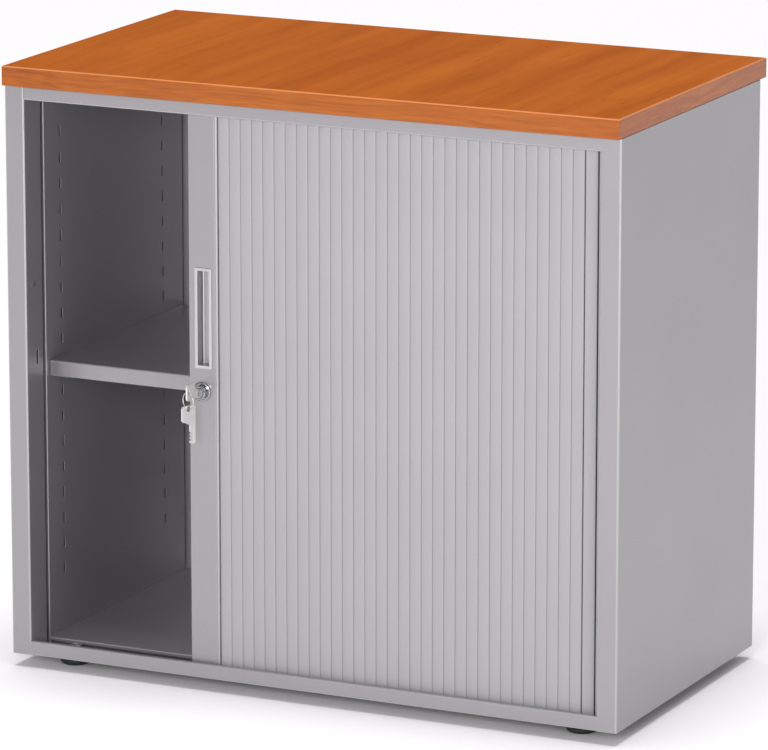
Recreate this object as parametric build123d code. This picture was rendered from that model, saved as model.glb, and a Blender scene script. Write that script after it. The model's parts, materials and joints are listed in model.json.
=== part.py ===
from build123d import *
import os
from math import cos, radians, sin

os.makedirs("parts", exist_ok=True)

# Low side-opening tambour cabinet. Millimetres, +X to the right, -Y to the front, +Z up,
# origin on the floor under the middle of the overall box.

# Overall sizes
WIDTH = 800.0
CARCASS_DEPTH = 420.0
CARCASS_HEIGHT = 702.0
TOP_THICK = 24.0
TOP_FRONT, TOP_BACK = 7.0, 18.0   # overhang of the wood top over the carcass
FOOT_GAP = 16.0                   # floor to the underside of the carcass
BAND, BAND_CORNER, BAND_ROUND = 2.0, 1.5, 1.0   # edge bands of the wood top and their rounding
BAND_JOINT = 0.05                 # butt joint between two bands

# Keys, and how far the spare hanging from the ring stands in front of the carcass
BOW_W, BOW_T, BOW_START, BOW_END = 20.0, 2.2, 21.0, 41.0   # along the key from the lead bar's face
BLADE_W, BLADE_T, BLADE_TIP, BLADE_SHOULDER = 8.0, 2.0, -6.5, 17.0
EYE_R, EYE_IN = 3.2, 4.2                                   # key eye and its distance from the bow's end
RING_R, WIRE_R, RING_TURN = 9.8, 0.7, radians(-24)
FACE_DEPTH = 10.0                                          # lead bar's face behind the front
KEY_REACH = BOW_END - EYE_IN - FACE_DEPTH + BOW_W / 2 * cos(RING_TURN) - BOW_T / 2 * sin(RING_TURN)

# Planes
FRONT = -(CARCASS_DEPTH + TOP_BACK - KEY_REACH) / 2
BACK = FRONT + CARCASS_DEPTH
SIDE = WIDTH / 2
BOTTOM = FOOT_GAP
TOP = BOTTOM + CARCASS_HEIGHT

# Sheet metal
SHEET = 1.0
GAP = 0.2                         # assembly gap between sheets that don't touch
BEND, PAN_BEND, LINER_BEND = 2.5, 2.0, 1.5
STILE = 26.0                      # visible width of a front stile
LEFT_FLANGE, RIGHT_FLANGE = 40.0, 10.0
REAR_RETURN = 20.0
RAIL_TOP, RAIL_BOTTOM = 16.5, 17.5
RAIL_RETURN, RAIL_HEM = 8.0, 6.0
PAN_UPSTAND = 14.0
TOP_SCREW_X, TOP_SCREW_INSET, TOP_SCREW_HOLE = (-300, 0, 300), 60.0, 2.6
BACK_PANEL_GAP = 3.0              # rear return, back panel and the gaps between them
BACK_PANEL_END = 1.5              # back panel's edge inside the carcass's top and bottom

# Liners, inner floor and shelf
LINER_X = 378.0
LINER_DEPTH = 55.0                # their front edges lie this far behind the front
LINER_RETURN = 4.0
LINER_END, LINER_GAP = BACK - 6, 1.2
FLOOR_Z, FLOOR_EDGE, FLOOR_LIP, FLOOR_HOLE = BOTTOM + 9, 4.5, 9.0, 6.0
SHELF_Z = BOTTOM + 355
SHELF_THICK, SHELF_LIP = 19.5, 12.0
SHELF_FRONT, SHELF_REAR = FRONT + 62, BACK - 12
SHELF_X = 376.5
SLOT_W, SLOT_H, SLOT_PITCH = 4.0, 12.0, 32.0
SLOT_Y, SLOT_ROWS = (FRONT + 95, BACK - 60), range(-8, 10)
SLOT_ZERO = SHELF_Z - 12          # middle of the slot row that holds the shelf clips
CLIP_TAIL, CLIP_HOOK, CLIP_LEDGE, CLIP_THICK = 3.2, 1.8, 14.0, 1.5

# Shutter curtain and its tracks
CURTAIN_DEPTH = 14.5              # middle of the curtain behind the front
CURTAIN_HALF = 2.5
CURTAIN_Y = FRONT + CURTAIN_DEPTH
CORNER_X, CORNER_R = 347.0, 42.0  # end of the straight run, radius of the corner
SIDE_RUN = 300.0
TRACK_HALF, CHANNEL_HALF = 4.5, 3.3
TRACK_BASE, TRACK_HEIGHT, TRACK_START = 1.5, 12.0, 2.0
SLAT_PITCH, SLAT_FACE, SLAT_THICK = 14.7, 14.2, 2.0
SLAT_CROWN, SLAT_EDGE = 0.8, 0.6
TONGUE_BACK, TONGUE_REACH, TONGUE_THICK, WEB = 4.0, 7.6, 1.2, 1.5
SLAT_CLEAR = 0.5                  # end of a slat to the bottom of its channel
MOVING_SLATS, STORED_SLATS = 31, 19

# Lead bar, grip, lock and keys
LEAD_X0, LEAD_X1 = -160.0, -121.5
LEAD_REAR = FRONT + 32
LEAD_WALL, LEAD_LIP, LEAD_BEND = 1.5, 11.5, 2.0
GROOVE_W, GROOVE_DEEP, GROOVE_IN = 0.9, 0.6, 3.0   # fine groove beside the right edge
LEAD_Z0, LEAD_Z1 = BOTTOM + 14, TOP - 15
FACE = FRONT + FACE_DEPTH         # front face of the lead bar
CUP_X, CUP_Z = -140.4, BOTTOM + 440
CUP_W, CUP_H, CUP_RIM, CUP_WALL, CUP_CLEAR = 22.4, 122.0, 1.2, 1.2, 0.3
CUP_CORNER, CUP_BREAK = 1.2, 0.5
POCKET_W, POCKET_H, POCKET_DEEP, POCKET_ROUND = 15.0, 114.5, 13.0, 4.0
SHOE_PLUG, SHOE_IN, SHOE_OUT = 10.0, 5.0, 16.0   # plug's height, tongue's ends inside the bar's sides
LOCK_X, LOCK_Z = -142.4, BOTTOM + 351
BARREL_R, BARREL_DEEP, PLUG_R, PLUG_GAP = 9.0, 13.0, 6.2, 0.3
ROSETTE_R, ROSETTE_H, ROSETTE_CHAMFER = 11.75, 3.0, 1.2
NOSE_R, NOSE_H, NOSE_CHAMFER = 8.6, 11.0, 0.8
LOCK_NUT_R, LOCK_NUT_H = 13.0, 4.0
PLUG_FRONT, PLUG_REAR = 11.5, -14.5          # measured forward from the lead bar's face
PIVOT = (8.0, -1.0)                          # hook pivot from the lock axis
HOOK_R0, HOOK_R1 = 30.0, 35.0
HOOK_DEPTH0, HOOK_DEPTH1 = 25.0, 27.5
PLATE0, PLATE1 = FRONT + HOOK_DEPTH1 + 0.7, FRONT + HOOK_DEPTH1 + 1.9   # case plate behind the hook
KEEP_DEPTHS, KEEP_HEIGHTS = (24.2, 28.4), (7.0, 24.0)                  # hook's slot in the left flange
HOOK_SPAN, HOOK_THROW = 56.0, 50.0           # degrees of claw, degrees from open to locked

# Levelling feet
FOOT_X, FOOT_INSET = 337.0, 45.0
PAD_R, PAD_H, STEM_R, STEM_TOP, STEM_GAP = 19.0, 8.0, 4.0, 24.5, 0.3
COLLAR_FLATS, COLLAR_H = 12.1, 2.0
FOOT_NUT_R, FOOT_NUT_H = 8.0, 6.0

# Closing buffer in the left flange
BUFFER_DEPTH, BUFFER_Z, BUFFER_R, SHANK_R = 18.0, BOTTOM + 458, 4.5, 2.5


def block(x0, x1, y0, y1, z0, z1):
    """A block between two corners."""
    return Pos((x0 + x1) / 2, (y0 + y1) / 2, (z0 + z1) / 2) * Box(x1 - x0, y1 - y0, z1 - z0)


def rod_y(x, z, y0, y1, r):
    """A round bar along Y."""
    return Pos(x, (y0 + y1) / 2, z) * Rot(90, 0, 0) * Cylinder(r, y1 - y0)


def upright(points, z0, z1, side, thick=SHEET, bend=BEND):
    """Sheet folded along a plan outline and standing between two heights."""
    path = FilletPolyline(*points, radius=bend)
    plan = make_face(offset(path, amount=thick, side=side, closed=True))
    return Pos(0, 0, z0) * extrude(plan, z1 - z0)


def lengthways(points, x0, x1, side, thick=SHEET, bend=BEND):
    """Sheet folded along a Y-Z outline and running between two X positions."""
    path = FilletPolyline(*points, radius=bend)
    section = Plane.YZ * make_face(offset(path, amount=thick, side=side, closed=True))
    return Pos(x0, 0, 0) * extrude(section, x1 - x0)


def top_board():
    """Core board, and the four bands round its edges."""
    y0, y1 = FRONT - TOP_FRONT, BACK + TOP_BACK
    core = block(-SIDE + BAND, SIDE - BAND, y0 + BAND, y1 - BAND, TOP, TOP + TOP_THICK)
    whole = block(-SIDE, SIDE, y0, y1, TOP, TOP + TOP_THICK)
    whole = fillet(whole.edges().filter_by(Axis.Z), BAND_CORNER)
    whole = fillet(whole.faces().sort_by(Axis.Z)[-1].edges(), BAND_ROUND)
    joints = [block(s * SIDE - 5, s * SIDE + 5, y, y + BAND_JOINT, TOP - 1, TOP + TOP_THICK + 1)
              for s in (-1, 1) for y in (y0 + BAND, y1 - BAND - BAND_JOINT)]
    return core, Compound(children=(whole - core - joints).solids())


def side_panel(flange):
    """Right-hand side: rear return, side, rounded front stile and its return flange."""
    inner = SIDE - STILE
    points = [(SIDE - REAR_RETURN, BACK), (SIDE, BACK), (SIDE, FRONT), (inner, FRONT),
              (inner, FRONT + flange)]
    return upright(points, BOTTOM, TOP, Side.RIGHT)


def left_panel():
    panel = mirror(side_panel(LEFT_FLANGE), Plane.YZ)
    wall = -SIDE + STILE
    keep = block(wall - 2, wall + 1, *(FRONT + depth for depth in KEEP_DEPTHS),
                 *(LOCK_Z + height for height in KEEP_HEIGHTS))
    bore = Pos(wall, FRONT + BUFFER_DEPTH, BUFFER_Z) * Rot(0, 90, 0) * Cylinder(SHANK_R + 0.05, 4)
    return panel - keep - bore


def closing_buffer():
    """Rubber button in the left flange that the lead bar meets."""
    wall = -SIDE + STILE
    head = Pos(wall + 0.5, 0, 0) * Rot(0, 90, 0) * Cylinder(BUFFER_R, 1)
    shank = Pos(wall - 1.5, 0, 0) * Rot(0, 90, 0) * Cylinder(SHANK_R, 3)
    return Pos(0, FRONT + BUFFER_DEPTH, BUFFER_Z) * (head + shank)


def stile_notches(z0, z1, fold0, fold1):
    """Room at a pan's front corners: for the stiles and their flanges, and behind them no rail folds."""
    inner = SIDE - STILE - GAP
    room = SHEET + BEND
    cuts = []
    for sign, flange in ((-1, LEFT_FLANGE), (1, RIGHT_FLANGE)):
        for width, depth, low, high in ((SIDE - inner, room, z0, z1), (room, flange + 1, z0, z1),
                                        (SIDE - inner, RAIL_RETURN + 1, fold0, fold1)):
            x0, x1 = sorted((sign * inner, sign * (inner + width)))
            cuts.append(block(x0, x1, FRONT - 1, FRONT + depth, low, high))
    return cuts


def feet_places():
    return [(sx * FOOT_X, y) for y in (FRONT + FOOT_INSET, BACK - FOOT_INSET) for sx in (-1, 1)]


def base_pan():
    """Floor of the carcass with the bottom rail folded up at the front and welded foot nuts."""
    rear, rail = BACK - BACK_PANEL_GAP, BOTTOM + RAIL_BOTTOM
    points = [(rear, BOTTOM + PAN_UPSTAND), (rear, BOTTOM), (FRONT, BOTTOM), (FRONT, rail),
              (FRONT + RAIL_RETURN, rail), (FRONT + RAIL_RETURN, rail - RAIL_HEM)]
    wide = SIDE - SHEET - GAP
    pan = lengthways(points, -wide, wide, Side.RIGHT, bend=PAN_BEND)
    pan -= stile_notches(BOTTOM - 1, rail + 1, BOTTOM + SHEET, rail + 1)
    nut = extrude(RegularPolygon(FOOT_NUT_R, 6), FOOT_NUT_H)
    for x, y in feet_places():
        pan += Pos(x, y, BOTTOM + SHEET) * nut
        pan -= Pos(x, y, BOTTOM) * Cylinder(STEM_R + STEM_GAP, 3 * FOOT_NUT_H)
    return pan


def roof_pan():
    """Roof of the carcass with the top rail folded down at the front."""
    rear, rail = BACK - BACK_PANEL_GAP, TOP - RAIL_TOP
    points = [(rear, TOP - PAN_UPSTAND), (rear, TOP), (FRONT, TOP), (FRONT, rail),
              (FRONT + RAIL_RETURN, rail), (FRONT + RAIL_RETURN, rail + RAIL_HEM)]
    wide = SIDE - SHEET - GAP
    pan = lengthways(points, -wide, wide, Side.LEFT, bend=PAN_BEND)
    pan -= stile_notches(rail - 1, TOP + 1, rail - 1, TOP - SHEET)
    for x in TOP_SCREW_X:
        for y in (FRONT + TOP_SCREW_INSET, BACK - TOP_SCREW_INSET):
            pan -= Pos(x, y, TOP) * Cylinder(TOP_SCREW_HOLE, 4 * SHEET)
    return pan


def back_panel():
    """Flat sheet against the rear returns of the sides."""
    y1 = BACK - SHEET - GAP
    wide = SIDE - BEND
    return block(-wide, wide, y1 - SHEET, y1, BOTTOM + BACK_PANEL_END, TOP - BACK_PANEL_END)


def liner():
    """Right-hand liner that hides the side track, with its columns of shelf slots."""
    out = LINER_X + LINER_RETURN
    points = [(out, FRONT + LINER_DEPTH), (LINER_X, FRONT + LINER_DEPTH),
              (LINER_X, LINER_END), (out, LINER_END)]
    sheet = upright(points, BOTTOM + LINER_GAP, TOP - LINER_GAP, Side.RIGHT, bend=LINER_BEND)
    slots = [block(LINER_X - 1, LINER_X + 2, y - SLOT_W / 2, y + SLOT_W / 2,
                   SLOT_ZERO + row * SLOT_PITCH - SLOT_H / 2, SLOT_ZERO + row * SLOT_PITCH + SLOT_H / 2)
             for y in SLOT_Y for row in SLOT_ROWS]
    return sheet - slots


def inner_floor():
    """Raised floor of the cupboard: a narrow front edge, a leg behind it, and holes over the rear stems."""
    under = FLOOR_Z - FLOOR_EDGE
    y0 = FRONT + LINER_DEPTH
    points = [(LINER_END - SHEET, FLOOR_Z), (y0, FLOOR_Z), (y0, under), (y0 + FLOOR_LIP, under),
              (y0 + FLOOR_LIP, BOTTOM + SHEET)]
    sheet = lengthways(points, -LINER_X + GAP, LINER_X - GAP, Side.LEFT, bend=LINER_BEND)
    for x, y in feet_places()[2:]:
        sheet -= Pos(x, y, FLOOR_Z) * Cylinder(FLOOR_HOLE, 4 * SHEET)
    return sheet


def shelf():
    """Steel shelf with its front and back edges folded down and in."""
    low = SHELF_Z - SHELF_THICK
    points = [(SHELF_FRONT + SHELF_LIP, low), (SHELF_FRONT, low), (SHELF_FRONT, SHELF_Z),
              (SHELF_REAR, SHELF_Z), (SHELF_REAR, low), (SHELF_REAR - SHELF_LIP, low)]
    return lengthways(points, -SHELF_X, SHELF_X, Side.RIGHT, bend=PAN_BEND)


def shelf_clips():
    """Four bent clips: a hook through the liner slot, an upright and a ledge for the shelf."""
    ledge, tip = SHELF_Z - SHEET, LINER_X - CLIP_LEDGE
    hook, tail, face = LINER_X + CLIP_HOOK, LINER_X + CLIP_TAIL, LINER_X - CLIP_THICK
    outline = Polyline(
        (tail, SLOT_ZERO + 5), (hook, SLOT_ZERO + 5), (hook, SLOT_ZERO - 1), (LINER_X, SLOT_ZERO - 1),
        (LINER_X, ledge), (tip, ledge), (tip, ledge - CLIP_THICK), (face, ledge - CLIP_THICK),
        (face, SLOT_ZERO - 4), (tail, SLOT_ZERO - 4), close=True)
    width = SLOT_W - 0.4
    clip = extrude(Plane.XZ * make_face(outline), width)
    right = [Pos(0, y + width / 2, 0) * clip for y in SLOT_Y]
    return Compound(children=right + [mirror(c, Plane.YZ) for c in right])


def track(z0, z1, base0, base1):
    """Shutter track: straight along the front, round the corner and back along the side."""
    turn_y = CURTAIN_Y + CORNER_R
    run_x = CORNER_X + CORNER_R

    def band(half):
        start = -SIDE + STILE + TRACK_START
        front = Pos((start + CORNER_X) / 2, CURTAIN_Y) * Rectangle(CORNER_X - start, 2 * half)
        side = Pos(run_x, turn_y + SIDE_RUN / 2) * Rectangle(2 * half, SIDE_RUN)
        ring = Circle(CORNER_R + half) - Circle(CORNER_R - half)
        quarter = Pos(CORNER_R, -CORNER_R) * Rectangle(2 * CORNER_R, 2 * CORNER_R)
        return front + side + Pos(CORNER_X, turn_y) * (ring & quarter)

    body = Pos(0, 0, z0) * extrude(band(TRACK_HALF), z1 - z0)
    channel = Pos(0, 0, base0) * extrude(band(CHANNEL_HALF), base1 - base0)
    return body - channel


def slat_section(reach):
    """Slat in plan: crowned face, web and the thin tongue that lies behind the next slat."""
    face, back = -CURTAIN_HALF, CURTAIN_HALF
    lap = SLAT_FACE - TONGUE_BACK
    crown = ThreePointArc((0, face + SLAT_CROWN), (SLAT_FACE / 2, face), (SLAT_FACE, face + SLAT_CROWN))
    rest = Polyline(
        (SLAT_FACE, face + SLAT_CROWN), (SLAT_FACE, face + SLAT_THICK), (lap + WEB, face + SLAT_THICK),
        (lap + WEB, back - TONGUE_THICK), (SLAT_FACE + reach, back - TONGUE_THICK), (SLAT_FACE + reach, back),
        (lap, back), (lap, face + SLAT_THICK), (0, face + SLAT_THICK), (0, face + SLAT_CROWN))
    section = make_face([crown, rest])
    return fillet(section.vertices().group_by(Axis.Y)[0], SLAT_EDGE)


def slat(reach):
    low = BOTTOM + SHEET + TRACK_BASE + SLAT_CLEAR
    high = TOP - SHEET - TRACK_BASE - SLAT_CLEAR
    return Pos(0, 0, low) * extrude(slat_section(reach), high - low)


def slat_left(number):
    """Left edge of a slat, counted from the lead bar."""
    return LEAD_X1 + 0.3 + SLAT_PITCH * (number - 1)


def stored_slats():
    """Slats behind the right stile: round the corner and back along the side track."""
    piece = Pos(-SLAT_FACE / 2, 0, 0) * slat(-1.0)
    turned = []
    for number in range(MOVING_SLATS + 1, MOVING_SLATS + STORED_SLATS + 1):
        run = slat_left(number) + SLAT_FACE / 2 - CORNER_X
        arc = CORNER_R * radians(90)
        if run <= 0:
            turned.append(Pos(CORNER_X + run, CURTAIN_Y, 0) * piece)
        elif run < arc:
            angle = run / CORNER_R
            x = CORNER_X + CORNER_R * sin(angle)
            y = CURTAIN_Y + CORNER_R * (1 - cos(angle))
            turned.append(Pos(x, y, 0) * Rot(0, 0, angle * 180 / radians(180)) * piece)
        else:
            y = CURTAIN_Y + CORNER_R + run - arc
            turned.append(Pos(CORNER_X + CORNER_R, y, 0) * Rot(0, 0, 90) * piece)
    return Compound(children=turned)


def lead_bar():
    """Hollow closing bar of the shutter, cut out for the grip, the lock and the hook."""
    y0, y1 = FACE, LEAD_REAR
    points = [(LEAD_X0 + LEAD_LIP, y1), (LEAD_X0, y1), (LEAD_X0, y0),
              (LEAD_X1, y0), (LEAD_X1, y1), (LEAD_X1 - LEAD_LIP, y1)]
    bar = upright(points, LEAD_Z0, LEAD_Z1, Side.LEFT, thick=LEAD_WALL, bend=LEAD_BEND)
    groove_x = LEAD_X1 - GROOVE_IN
    notch = make_face(Polyline((groove_x, y0), (groove_x - GROOVE_W / 2, y0 + GROOVE_DEEP),
                               (groove_x - GROOVE_W, y0), close=True))
    bar -= Pos(0, 0, LEAD_Z0) * extrude(notch, LEAD_Z1 - LEAD_Z0)
    hole_w, hole_h = (size + 2 * (CUP_WALL + CUP_CLEAR) for size in (POCKET_W, POCKET_H))
    bar -= block(CUP_X - hole_w / 2, CUP_X + hole_w / 2, y0 - 1, y0 + 4,
                 CUP_Z - hole_h / 2, CUP_Z + hole_h / 2)
    bar -= rod_y(LOCK_X, LOCK_Z, y0 - 1, y0 + 4, BARREL_R + 0.2)
    bar -= block(LEAD_X0 - 1, LEAD_X0 + 3, FRONT + HOOK_DEPTH0 - 0.6, FRONT + HOOK_DEPTH1 + 0.6,
                 LOCK_Z + 12, LOCK_Z + 27)
    return bar


def guide_shoes():
    """End caps of the lead bar with the tongues that run in the tracks."""
    y0, y1 = FACE, LEAD_REAR
    inset = LEAD_WALL + 0.2
    tongue0, tongue1 = LEAD_X0 + SHOE_IN, LEAD_X1 - SHOE_OUT    # clear of the track's corner
    shoes = []
    for end, into, tip in ((LEAD_Z0, 1, BOTTOM + SHEET + TRACK_BASE + SLAT_CLEAR),
                           (LEAD_Z1, -1, TOP - SHEET - TRACK_BASE - SLAT_CLEAR)):
        cap = block(LEAD_X0, LEAD_X1, y0, y1, *sorted((end - into, end)))
        plug = block(LEAD_X0 + inset, LEAD_X1 - inset, y0 + inset, y1 - inset,
                     *sorted((end, end + SHOE_PLUG * into)))
        tongue = block(tongue0, tongue1, CURTAIN_Y - CURTAIN_HALF, CURTAIN_Y + CURTAIN_HALF,
                       *sorted((tip, end - into)))
        shoes.append(fillet(cap.edges().filter_by(Axis.Z), LEAD_BEND) + plug + tongue)
    return Compound(children=shoes)


def grip_cup():
    """Recessed finger grip: thin rim on the lead bar and a pocket with rounded floor edges."""
    outer_w, outer_h = POCKET_W + 2 * CUP_WALL, POCKET_H + 2 * CUP_WALL
    rim = block(CUP_X - CUP_W / 2, CUP_X + CUP_W / 2, FACE - CUP_RIM, FACE,
                CUP_Z - CUP_H / 2, CUP_Z + CUP_H / 2)
    rim = fillet(rim.edges().filter_by(Axis.Y), CUP_CORNER)
    rim = chamfer(rim.faces().sort_by(Axis.Y)[0].edges(), CUP_BREAK)
    tub = block(CUP_X - outer_w / 2, CUP_X + outer_w / 2, FACE, FACE + POCKET_DEEP + CUP_WALL,
                CUP_Z - outer_h / 2, CUP_Z + outer_h / 2)
    tub = fillet(tub.faces().sort_by(Axis.Y)[-1].edges().filter_by(Axis.Z), POCKET_ROUND + CUP_WALL)
    pocket = block(CUP_X - POCKET_W / 2, CUP_X + POCKET_W / 2, FACE - CUP_RIM - 1, FACE + POCKET_DEEP,
                   CUP_Z - POCKET_H / 2, CUP_Z + POCKET_H / 2)
    pocket = fillet(pocket.faces().sort_by(Axis.Y)[-1].edges().filter_by(Axis.Z), POCKET_ROUND)
    return rim + tub - pocket


def lock_housing():
    """Barrel with its stepped rosette, nut, and the case plate that carries the hook pivot."""
    lock = rod_y(LOCK_X, LOCK_Z, FACE - ROSETTE_H, FACE, ROSETTE_R)
    lock = chamfer(lock.faces().sort_by(Axis.Y)[0].edges(), ROSETTE_CHAMFER)
    lock += rod_y(LOCK_X, LOCK_Z, FACE - NOSE_H, FACE - ROSETTE_H, NOSE_R)
    lock = chamfer(lock.faces().sort_by(Axis.Y)[0].edges(), NOSE_CHAMFER)
    lock += rod_y(LOCK_X, LOCK_Z, FACE, FACE + BARREL_DEEP, BARREL_R)
    nut = extrude(RegularPolygon(LOCK_NUT_R, 6), LOCK_NUT_H)
    lock += Pos(LOCK_X, FACE + LEAD_WALL + LOCK_NUT_H, LOCK_Z) * Rot(90, 0, 0) * nut
    lock += block(LOCK_X - 10, LOCK_X + 14, PLATE0, PLATE1, LOCK_Z - 13, LOCK_Z + 6)
    lock += block(LOCK_X - 4, LOCK_X + 4, FACE + 8, PLATE1, LOCK_Z - 13, LOCK_Z - 7.2)
    lock += rod_y(LOCK_X + PIVOT[0], LOCK_Z + PIVOT[1], FRONT + HOOK_DEPTH0, PLATE0, 2.0)
    return lock - rod_y(LOCK_X, LOCK_Z, FACE - NOSE_H - 1, FACE + BARREL_DEEP, PLUG_R + PLUG_GAP)


def lock_plug():
    """Rotating plug with the key slot and a driver bar on its back."""
    plug = rod_y(LOCK_X, LOCK_Z, FACE - PLUG_FRONT, FACE - PLUG_REAR, PLUG_R)
    plug = chamfer(plug.faces().sort_by(Axis.Y)[0].edges(), 0.6)
    slot_w, slot_h = BLADE_T + 0.6, BLADE_W + 0.6
    return plug - block(LOCK_X - slot_w / 2, LOCK_X + slot_w / 2, FACE - PLUG_FRONT - 1, FACE + 8,
                        LOCK_Z - slot_h / 2, LOCK_Z + slot_h / 2)


def lock_hook():
    """Claw that swings out through the lead bar and behind the left flange, drawn back."""
    hub_r, bore_r, arm = 4.6, 2.06, 10.0
    ring = Circle(HOOK_R1) - Circle(HOOK_R0)
    reach = 2 * HOOK_R1
    edge0, edge1 = 180 - HOOK_THROW, 180 - HOOK_THROW - HOOK_SPAN
    wedge = make_face(Polyline((0, 0), *[(reach * cos(radians(a)), reach * sin(radians(a)))
                                         for a in (edge0, (edge0 + edge1) / 2, edge1)], close=True))
    spoke = Rot(0, 0, edge1 + arm / 2) * Pos((HOOK_R0 + 1) / 2, 0) * Rectangle(HOOK_R0 + 1, 5.0)
    claw = (ring & wedge) + spoke + Circle(hub_r) - Circle(bore_r)
    solid = extrude(Plane.XZ * claw, HOOK_DEPTH1 - HOOK_DEPTH0)
    return Pos(LOCK_X + PIVOT[0], FRONT + HOOK_DEPTH1, LOCK_Z + PIVOT[1]) * solid


def key_outline():
    """Flat key: x along its length from the blade's tip, y across, blade flush with one side."""
    length = BOW_END - BLADE_TIP
    shoulder, bow = BLADE_SHOULDER - BLADE_TIP, BOW_START - BLADE_TIP
    half = BLADE_W / 2
    far = BOW_W - half
    teeth = []
    for step in range(3):
        x = 4.5 + step * 4.0
        teeth += [(x, half), (x + 0.9, half - 1.6), (x + 1.9, half - 1.6), (x + 2.8, half)]
    outline = Polyline((0, -1), (0, 1), (2, half), *teeth, (shoulder, half), (bow, far - 4),
                       (bow, far), (length, far), (length, -half), (bow, -half), (2, -half), close=True)
    face = make_face(outline)
    corners = [v for v in face.vertices() if v.X > bow - 0.1 and (v.Y > far - 0.1 or v.X > length - 0.1)]
    face = fillet(corners, 3.5)
    return face - Pos(length - EYE_IN, far - BOW_W / 2) * Circle(EYE_R)


def key_blank():
    body = extrude(key_outline(), BOW_T / 2, both=True)
    shoulder = BLADE_SHOULDER - BLADE_TIP
    for s in (-1, 1):
        body -= Pos(shoulder / 2, 0, s * (BLADE_T / 2 + 1)) * Box(shoulder, BLADE_W + 2, 2)
    return body


def key():
    """Key in the lock: its bow stands upright and its blade lies in the plug."""
    stand = Plane(origin=(LOCK_X, FACE - BLADE_TIP, LOCK_Z), x_dir=(0, -1, 0), z_dir=(-1, 0, 0))
    return stand * key_blank()


def eye_height():
    return LOCK_Z + BOW_W / 2 - BLADE_W / 2


def key_ring():
    """Wire ring through the key's eye."""
    hang = Plane(origin=(LOCK_X, FACE - BOW_END + EYE_IN, eye_height() - RING_R),
                 x_dir=(cos(RING_TURN), sin(RING_TURN), 0), z_dir=(-sin(RING_TURN), cos(RING_TURN), 0))
    return hang * Torus(RING_R, WIRE_R)


def spare_key():
    """Second key hanging from the ring, square to it."""
    length = BOW_END - BLADE_TIP
    across = BOW_W / 2 - BLADE_W / 2
    tip_z = eye_height() - 2 * RING_R - (length - EYE_IN)
    eye_y = FACE - BOW_END + EYE_IN
    hang = Plane(origin=(LOCK_X - across * sin(RING_TURN), eye_y + across * cos(RING_TURN), tip_z),
                 x_dir=(0, 0, 1), z_dir=(cos(RING_TURN), sin(RING_TURN), 0))
    return hang * key_blank()


def foot():
    """Levelling foot at the origin: a turned pad and stem, and a hexagonal collar for a spanner."""
    profile = make_face(Polyline((0, 0), (PAD_R - 5, 0), (PAD_R - 1.5, 1.5), (PAD_R, 4), (PAD_R, PAD_H - 1),
                                 (PAD_R - 1, PAD_H), (STEM_R, PAD_H), (STEM_R, STEM_TOP - 0.5),
                                 (STEM_R - 0.5, STEM_TOP), (0, STEM_TOP), close=True))
    collar = extrude(RegularPolygon(COLLAR_FLATS / 2, 6, major_radius=False), COLLAR_H)
    return revolve(Plane.XZ * profile, Axis.Z) + Pos(0, 0, PAD_H) * collar


def save(name, shape):
    export_step(shape, f"parts/{name}.step")


board, bands = top_board()
save("top_board", board)
save("top_edge_bands", bands)
save("side_panel_left", left_panel())
save("side_panel_right", side_panel(RIGHT_FLANGE))
save("closing_buffer", closing_buffer())
save("base_pan", base_pan())
save("roof_pan", roof_pan())
save("back_panel", back_panel())
save("liner_right", liner())
save("liner_left", mirror(liner(), Plane.YZ))
save("inner_floor", inner_floor())
save("shelf", shelf())
save("shelf_clips", shelf_clips())

low_base, high_base = BOTTOM + SHEET, TOP - SHEET
save("lower_track", track(low_base, low_base + TRACK_HEIGHT - 1, low_base + TRACK_BASE, low_base + 40))
save("upper_track", track(high_base - TRACK_HEIGHT, high_base, high_base - 40, high_base - TRACK_BASE))
for number in range(1, MOVING_SLATS + 1):
    save(f"slat_{number:02d}", Pos(slat_left(number), CURTAIN_Y, 0) * slat(TONGUE_REACH))
save("stored_slats", stored_slats())

save("lead_bar", lead_bar())
save("guide_shoes", guide_shoes())
save("grip_cup", grip_cup())
save("lock_housing", lock_housing())
save("lock_plug", lock_plug())
save("lock_hook", lock_hook())
save("key", key())
save("key_ring", key_ring())
save("spare_key", spare_key())
for (x, y), name in zip(feet_places(), ("front_left", "front_right", "rear_left", "rear_right")):
    save(f"foot_{name}", Pos(x, y, 0) * foot())
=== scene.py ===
import json
from math import atan2, cos, pi, radians, sin, sqrt

import bmesh
import bpy
from mathutils import Matrix, Vector


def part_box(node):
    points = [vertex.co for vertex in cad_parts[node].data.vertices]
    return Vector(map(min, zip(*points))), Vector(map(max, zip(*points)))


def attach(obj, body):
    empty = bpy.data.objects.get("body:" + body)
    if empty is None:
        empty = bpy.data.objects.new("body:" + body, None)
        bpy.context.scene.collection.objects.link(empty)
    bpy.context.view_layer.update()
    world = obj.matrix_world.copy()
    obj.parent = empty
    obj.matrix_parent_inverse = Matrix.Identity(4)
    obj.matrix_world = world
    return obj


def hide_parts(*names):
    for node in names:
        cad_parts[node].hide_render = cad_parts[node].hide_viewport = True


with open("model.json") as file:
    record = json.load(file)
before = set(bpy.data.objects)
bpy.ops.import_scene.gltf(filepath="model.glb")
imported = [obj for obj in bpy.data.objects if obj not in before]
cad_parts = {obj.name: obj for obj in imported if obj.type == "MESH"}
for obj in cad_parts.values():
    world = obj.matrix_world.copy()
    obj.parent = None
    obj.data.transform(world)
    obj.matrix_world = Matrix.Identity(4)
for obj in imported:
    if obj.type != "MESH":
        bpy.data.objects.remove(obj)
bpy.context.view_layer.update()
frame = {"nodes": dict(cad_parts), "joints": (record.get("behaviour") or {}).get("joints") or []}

# --------------------------------------------------------------
# Camera. It stands in front and to the right of the cabinet, a little above the top board,
# and looks at the middle of the carcass from far off with a long lens.
side_low, side_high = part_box("side_panel_right")
front, back = side_low.y, side_high.y
bottom, top = side_low.z, side_high.z
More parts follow.
